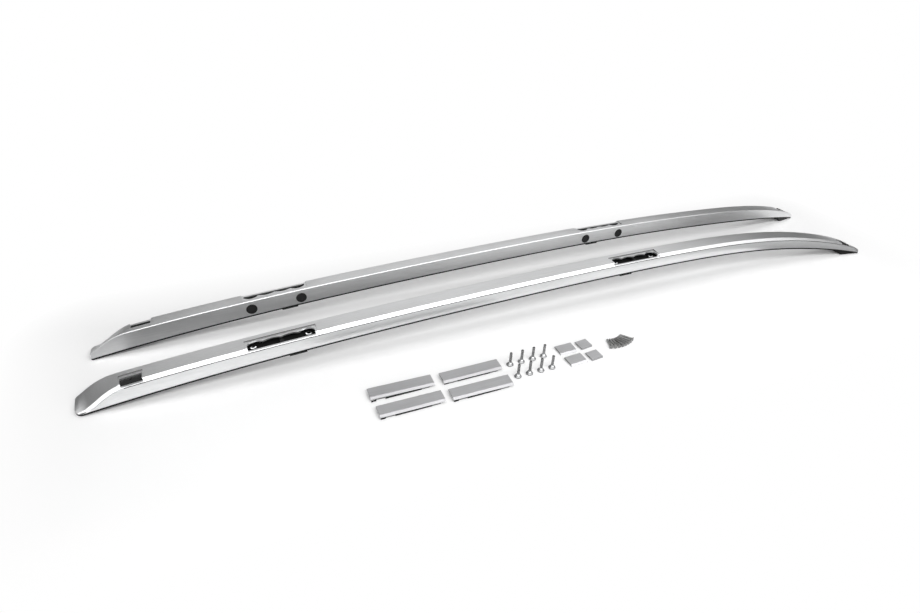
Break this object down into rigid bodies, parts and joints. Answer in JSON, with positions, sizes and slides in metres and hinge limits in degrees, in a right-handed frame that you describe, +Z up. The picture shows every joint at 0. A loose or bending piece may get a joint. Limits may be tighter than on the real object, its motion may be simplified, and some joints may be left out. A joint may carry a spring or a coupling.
{
  "type": "roof side rail pair",
  "caption": "Pair of arched satin aluminium roof side rails with black brackets, plugs, gaskets and feet, and their window covers, bolts and screws laid beside them.",
  "frame": {"origin": "on the floor, under the middle of the pair's and the laid-out pieces' bounding box", "axes": "+X along the rails from the blunt front end to the thin rear end, +Y from the left rail to the right rail, +Z up"},
  "size_m": [2.1216, 0.4754, 0.1073],
  "materials": {
    "satin_aluminium": "satin anodised, brushed along the rail",
    "black_rubber": "matt",
    "black_plastic": "matt moulded",
    "pale_plastic": "matt moulded",
    "zinc_steel": "bright zinc plate",
    "dark_steel": "dark stainless"
  },
  "bodies": {
    "root": {"left_rail": "satin_aluminium", "left_gasket": "black_rubber", "left_front_bracket": "black_plastic", "left_front_bushes": "zinc_steel", "left_front_foot": "black_plastic", "left_rear_bracket": "black_plastic", "left_rear_bushes": "zinc_steel", "left_rear_foot": "black_plastic", "left_plug_1": "black_plastic", "left_plug_2": "black_plastic", "left_plug_3": "black_plastic", "left_plug_4": "black_plastic", "right_rail": "satin_aluminium", "right_gasket": "black_rubber", "right_front_bracket": "black_plastic", "right_front_bushes": "zinc_steel", "right_front_foot": "black_plastic", "right_rear_bracket": "black_plastic", "right_rear_bushes": "zinc_steel", "right_rear_foot": "black_plastic", "right_plug_1": "black_plastic", "right_plug_2": "black_plastic", "right_plug_3": "black_plastic", "right_plug_4": "black_plastic", "long_cover_1": "satin_aluminium", "long_cover_clips_1": "pale_plastic", "long_cover_2": "satin_aluminium", "long_cover_clips_2": "pale_plastic", "long_cover_3": "satin_aluminium", "long_cover_clips_3": "pale_plastic", "long_cover_4": "satin_aluminium", "long_cover_clips_4": "pale_plastic", "front_end_cover_1": "satin_aluminium", "rear_end_cover_1": "satin_aluminium", "front_end_cover_2": "satin_aluminium", "rear_end_cover_2": "satin_aluminium", "fixing_bolts": "zinc_steel", "foot_screws": "dark_steel"}
  },
  "joints": []
}
